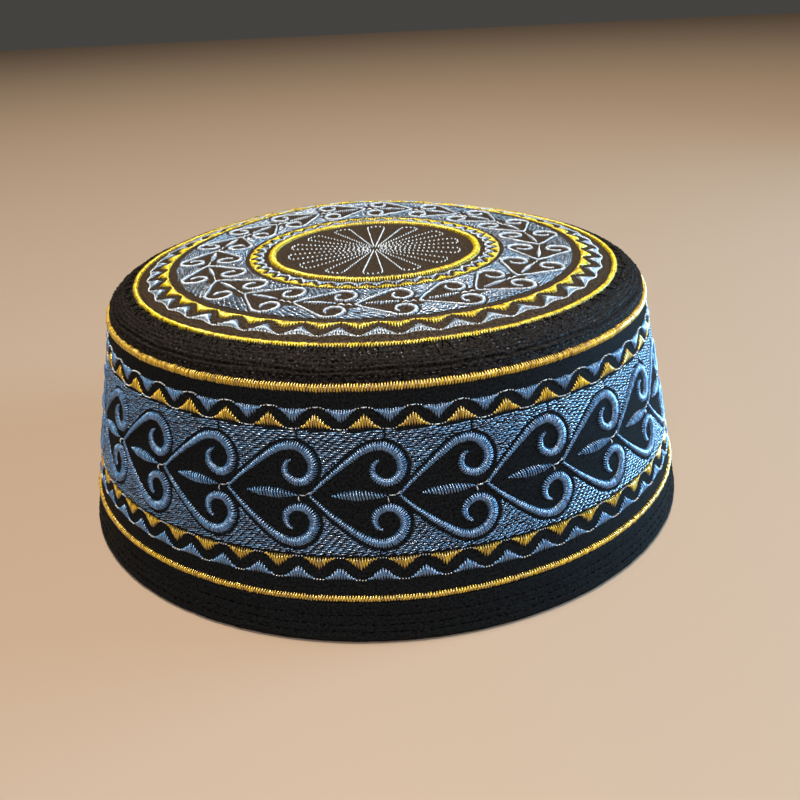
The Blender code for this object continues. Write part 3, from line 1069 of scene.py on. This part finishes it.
# Stitches from a leaf's end to the next node, as (across, up, across, up)
WALL_LINKS = ((19.3, -0.1, 21.0, 0.0), (21.1, 0.1, 22.2, 0.8), (19.1, -0.3, 19.3, -1.8))
CROWN_LINKS = ((12.3, 0.0, 14.3, 0.05), (14.5, 0.05, 16.4, 0.1))
for band, runs, links, seed in ((WALL_BAND, wall_runs, WALL_LINKS, 81),
                                (CROWN_BAND, crown_runs, CROWN_LINKS, 82)):
    stitches = np.concatenate([*runs, repeated(band, bent(band, np.array(links)), seed)])
    sew(band.name + "_running_stitches", stitches, white_thread, RUN_THREAD, RUN_LOFT, SHORT_LAY,
        seed=seed)

# %% The medallion's flower
PETALS = 14
PETAL_FIRST = -2.0          # the turn of a petal's middle, in degrees
PETAL_OPENING = 6.4         # half the angle between a petal's sides
PETAL_START = 2.0
PETAL_SHOULDER = 25.9
PETAL_CORNER = 26.8
PETAL_END = 27.1
PETAL_THREAD = 0.42
DASH = 0.65
DASH_GAP = 0.85


def petal_stitches():
    """Short stitches along the outline of each petal."""
    opening = math.radians(PETAL_OPENING)
    corners = [(-1.0, PETAL_START), (-1.0, PETAL_SHOULDER), (-0.6, PETAL_CORNER), (0.0, PETAL_END),
               (0.6, PETAL_CORNER), (1.0, PETAL_SHOULDER), (1.0, PETAL_START)]
    outline = np.array([(radius * math.sin(side * opening), radius * math.cos(side * opening))
                        for side, radius in corners])
    run = distances(outline)
    first = np.arange(0.0, run[-1] - DASH, DASH + DASH_GAP)
    ends = []
    for places in (first, first + DASH):
        across, ahead = read(outline, run, places).T
        ends += [at_radius(np.hypot(across, ahead)), np.arctan2(across, ahead)]
    petal = np.stack(ends, 1)
    turns = turns_round(PETALS, PETAL_FIRST)
    return np.concatenate([petal + (0.0, turn, 0.0, turn) for turn in turns])


sew("medallion_petals", petal_stitches(), white_thread, PETAL_THREAD, RUN_LOFT,
    SHORT_LAY, seed=91)

# %% [markdown]
# The quilting is sewn with black thread, in stitches of 1 to 2 mm along the grooves between the ribs.
# Over the crown's seam runs a hand overcast: pairs of long stitches that meet on the gold line and
# spread over the first rows of quilting.

# %% Stitches of the quilting


def quilt_stitches(quilting, numbers, pitch, gap, seed):
    """Stitches along some rows of quilting, a pitch apart with a gap between them."""
    draw = np.random.default_rng(seed)
    parts = []
    for number in numbers:
        radius = radius_at(quilting.rows[number])
        count = int(ROUND * radius / pitch)
        start = (np.arange(count) + draw.uniform() + draw.normal(0.0, 0.1, count)) / count * ROUND
        stop = start + (pitch - gap) * draw.uniform(0.8, 1.1, count) / radius
        ends = [stitch_row(quilting, number, start), start, stitch_row(quilting, number, stop), stop]
        parts.append(np.stack(ends, 1))
    return np.concatenate(parts)


# %% The overcast
OVERCAST_STEP = 5.2
OVERCAST_TOP = 0.9   # millimetres past the crown's seam
OVERCAST_FOOT = 4.4
OVERCAST_SPREAD = (0.8, 2.0)  # how far a pair's feet stand to either side


def overcast_stitches(seed):
    """Pairs of stitches that spread from one point each, all the way round."""
    draw = np.random.default_rng(seed)
    top, foot = shoulder_start + OVERCAST_TOP, shoulder_start + OVERCAST_FOOT
    count = int(ROUND * SHOULDER_RADIUS / OVERCAST_STEP)
    turn = (np.arange(count) + draw.uniform(-0.25, 0.25, count)) / count * ROUND
    peak = np.stack([top + draw.normal(0.0, 0.2, count), turn], 1)
    parts = []
    for side in (-1.0, 1.0):
        spread = side * draw.uniform(*OVERCAST_SPREAD, count) / SHOULDER_RADIUS
        feet = np.stack([foot + draw.normal(0.0, 0.4, count), turn + spread], 1)
        parts.append(np.concatenate([peak, feet], 1))
    return np.concatenate(parts)


# %% Quilting and overcast
QUILTING_THREAD = 0.26
SHOULDER_LOFT = Loft(0.2, 0.0, 0.3)
HEM_LOFT = Loft(0.08, 0.0, 0.12)
OVERCAST_THREAD = 0.3
OVERCAST_LOFT = Loft(0.5, 0.0, 0.6)
shoulder_numbers = [number for number in range(len(SHOULDER_ROWS)) if number != GROOVE]
shoulder_stitches = quilt_stitches(SHOULDER_QUILTING, shoulder_numbers, pitch=1.9, gap=0.7, seed=101)
hem_stitches = quilt_stitches(HEM_QUILTING, (1, 2, 3), pitch=2.5, gap=0.7, seed=103)
sew("shoulder_quilting", shoulder_stitches, black_thread, QUILTING_THREAD, SHOULDER_LOFT,
    SHORT_LAY, spread=1.0, seed=101)
sew("shoulder_overcast", overcast_stitches(102), matt_thread, OVERCAST_THREAD,
    OVERCAST_LOFT, seed=102)
sew("hem_quilting", hem_stitches, matt_thread, QUILTING_THREAD, HEM_LOFT, SHORT_LAY,
    spread=1.0, seed=103)
print("triangles added:", sum(triangles.values()))

# %% [markdown]
# The floor is a plain pale board. A small warm lamp hangs high above the cap, because that is what
# lights the tips of upright stitches and leaves their feet dark. A cool panel in front opens the
# shadows, and a low blue one on the right, as from a window, shows the wall's curve. The standard
# view keeps the threads as strongly coloured as they are written.

# %% Floor
FLOOR_REACH = 3.0
floor_mesh = bpy.data.meshes.new("floor")
floor_corners = [(x * FLOOR_REACH, y * FLOOR_REACH, 0.0) for x, y in ((-1, -1), (1, -1), (1, 1), (-1, 1))]
floor_mesh.from_pydata(floor_corners, [], [(0, 1, 2, 3)])
floor = add_object("floor", floor_mesh)
board, board_tree, board_shader = new_finish("pale board")
feed(board_tree, board_shader, {"Base Color": linear("#887562"), "Roughness": 0.6})
floor_mesh.materials.append(board)

# %% Lights
LAMP_AIM = Vector((0.0, 0.0, 0.04))  # the middle of the cap
Panel = namedtuple("Panel", "name place size power spread colour")
PANELS = (
    Panel("lamp above", (-0.04, 0.2, 2.4), 0.4, 104.0, 180.0, "#fff4e4"),
    Panel("panel in front", (-0.1, -0.9, 0.9), 0.6, 6.0, 120.0, "#f4f6ff"),
    Panel("window", (0.85, 0.1, 0.25), 0.5, 12.0, 120.0, "#84bce6"),
)
for panel in PANELS:
    light = bpy.data.lights.new(panel.name, "AREA")
    light.size = panel.size
    light.energy = panel.power
    light.spread = math.radians(panel.spread)
    light.color = linear(panel.colour)[:3]
    lamp = add_object(panel.name, light)
    lamp.location = panel.place
    lamp.rotation_euler = (LAMP_AIM - lamp.location).to_track_quat("-Z", "Y").to_euler()

world = bpy.data.worlds.new("room")
world.use_nodes = True
feed(world.node_tree, world.node_tree.nodes["Background"], {"Color": linear("#b9b6b0"), "Strength": 0.12})
bpy.context.scene.world = world
bpy.context.scene.view_settings.view_transform = "Standard"

# %% Camera
CAMERA_PLACE = Vector((0.0, -0.2824, 0.1514))
CAMERA_AIM = Vector((0.0057, 0.0, 0.0239))
CAMERA_ROLL = math.radians(-2.69)
camera = add_object("camera", bpy.data.cameras.new("camera"))
camera.data.sensor_width = 36.0
camera.data.lens = 41.706
camera.data.clip_start = 0.01
print(f"the camera is {(CAMERA_AIM - CAMERA_PLACE).length / MM:.0f} mm from what it looks at")
look = (CAMERA_AIM - CAMERA_PLACE).to_track_quat("-Z", "Y").to_matrix().to_4x4()
camera.matrix_world = Matrix.Translation(CAMERA_PLACE) @ look @ Matrix.Rotation(CAMERA_ROLL, 4, "Z")
bpy.context.scene.camera = camera
